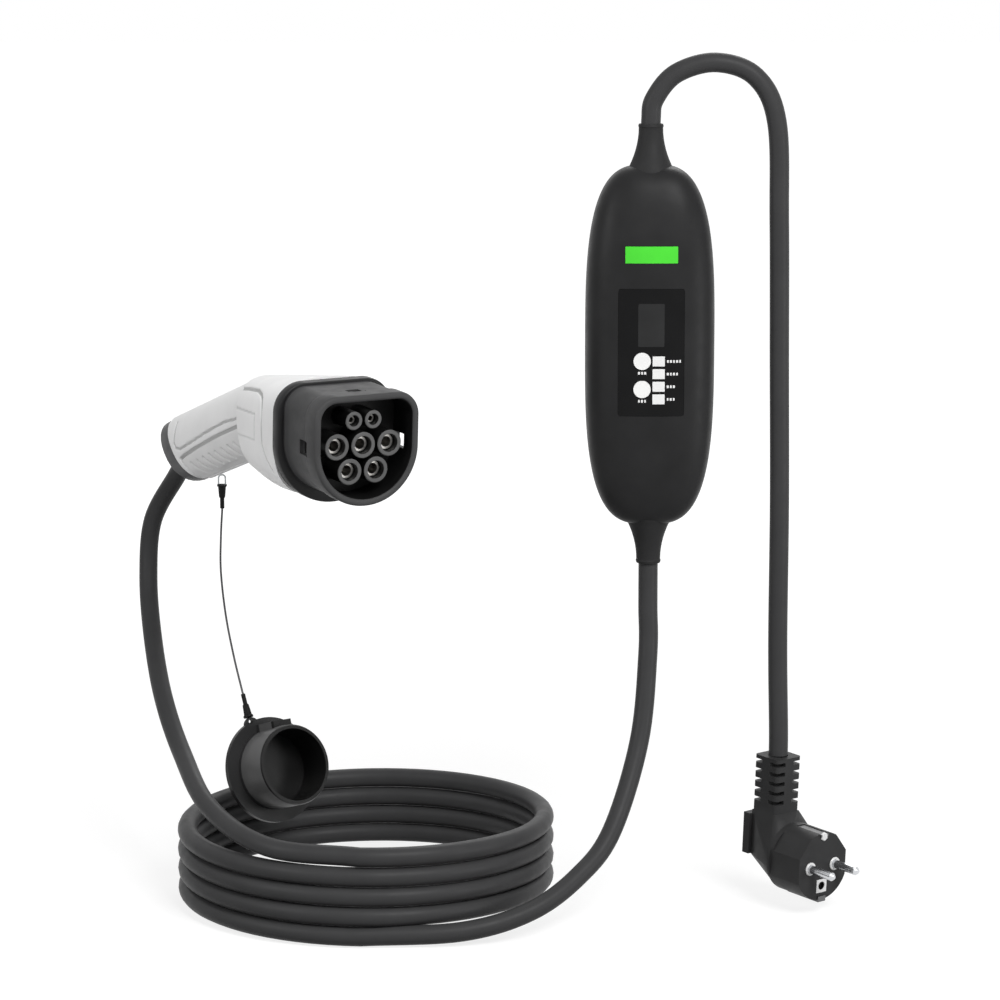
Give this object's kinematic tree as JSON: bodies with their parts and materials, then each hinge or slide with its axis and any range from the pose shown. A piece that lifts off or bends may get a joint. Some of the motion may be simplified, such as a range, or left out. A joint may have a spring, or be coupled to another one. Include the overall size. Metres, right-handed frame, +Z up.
{
  "type": "portable electric vehicle charger",
  "caption": "Portable charger with an upright control box, a pistol-grip vehicle connector, a tethered cap, a coil of cable and an angled mains plug on its lead.",
  "frame": {"origin": "middle of the flat back of the control box", "axes": "+Z up along the box, +Y out of its back, so the panel faces -Y, and +X to the panel's right"},
  "size_m": [0.4187, 0.241, 0.4853],
  "materials": {
    "box_black": "satin",
    "relief_rubber": "matte",
    "panel_black": "gloss",
    "display_glass": "gloss",
    "button_white": "satin",
    "light_clear": "gloss",
    "badge_green": "satin",
    "board": "matte",
    "inner_black": "matte",
    "supply_yellow": "matte",
    "terminal_green": "matte",
    "steel": "satin",
    "clamp_grey": "matte",
    "wire": "matte",
    "grip_white": "satin",
    "nose_grey": "satin",
    "carrier_black": "matte",
    "contact_metal": "satin",
    "collar_grey": "matte",
    "loop_clear": "gloss",
    "crimp_black": "matte",
    "cap_black": "matte",
    "plug_black": "satin",
    "socket_white": "satin",
    "cable_rubber": "satin"
  },
  "bodies": {
    "base": {"front_shell": "box_black", "rear_shell": "box_black", "housing_seal": "relief_rubber", "panel_overlay": "panel_black", "display_window": "display_glass", "display_module": "inner_black", "display_board": "board", "key_switches": "inner_black", "status_lights": "light_clear", "badge_plate": "badge_green", "main_board": "board", "line_relay": "inner_black", "neutral_relay": "inner_black", "current_sensor": "inner_black", "power_supply": "supply_yellow", "supply_terminals": "terminal_green", "vehicle_terminals": "terminal_green", "case_screws": "steel", "board_screws": "steel", "supply_relief": "relief_rubber", "vehicle_relief": "relief_rubber", "supply_clamp": "clamp_grey", "vehicle_clamp": "clamp_grey", "clamp_screws": "steel", "supply_conductors": "wire", "vehicle_conductors": "wire", "connector_shell_right": "grip_white", "connector_shell_left": "grip_white", "nose_shroud": "nose_grey", "contact_carrier": "carrier_black", "contact_pe": "contact_metal", "contact_n": "contact_metal", "contact_l1": "contact_metal", "contact_l2": "contact_metal", "contact_l3": "contact_metal", "contact_cp": "contact_metal", "contact_pp": "contact_metal", "rear_collar": "collar_grey", "connector_screws": "steel", "tether_loop": "loop_clear", "upper_crimp": "crimp_black", "tether_wire": "steel", "lower_crimp": "crimp_black", "protective_cap": "cap_black", "plug_body": "plug_black", "line_pin": "steel", "neutral_pin": "steel", "earth_clips": "steel", "earth_socket": "socket_white", "vehicle_cable_coil": "cable_rubber", "vehicle_cable_to_connector": "cable_rubber", "vehicle_cable_to_box": "cable_rubber", "mains_lead": "cable_rubber"},
    "upper_key": {"upper_button": "button_white"},
    "lower_key": {"lower_button": "button_white"}
  },
  "joints": [
    {"name": "upper_key_press", "type": "slide", "parent": "base", "child": "upper_key", "axis": [0, 1, 0], "range_m": [0, 0.0006], "stiffness_N_per_m": 1500},
    {"name": "lower_key_press", "type": "slide", "parent": "base", "child": "lower_key", "axis": [0, 1, 0], "range_m": [0, 0.0006], "stiffness_N_per_m": 1500}
  ]
}
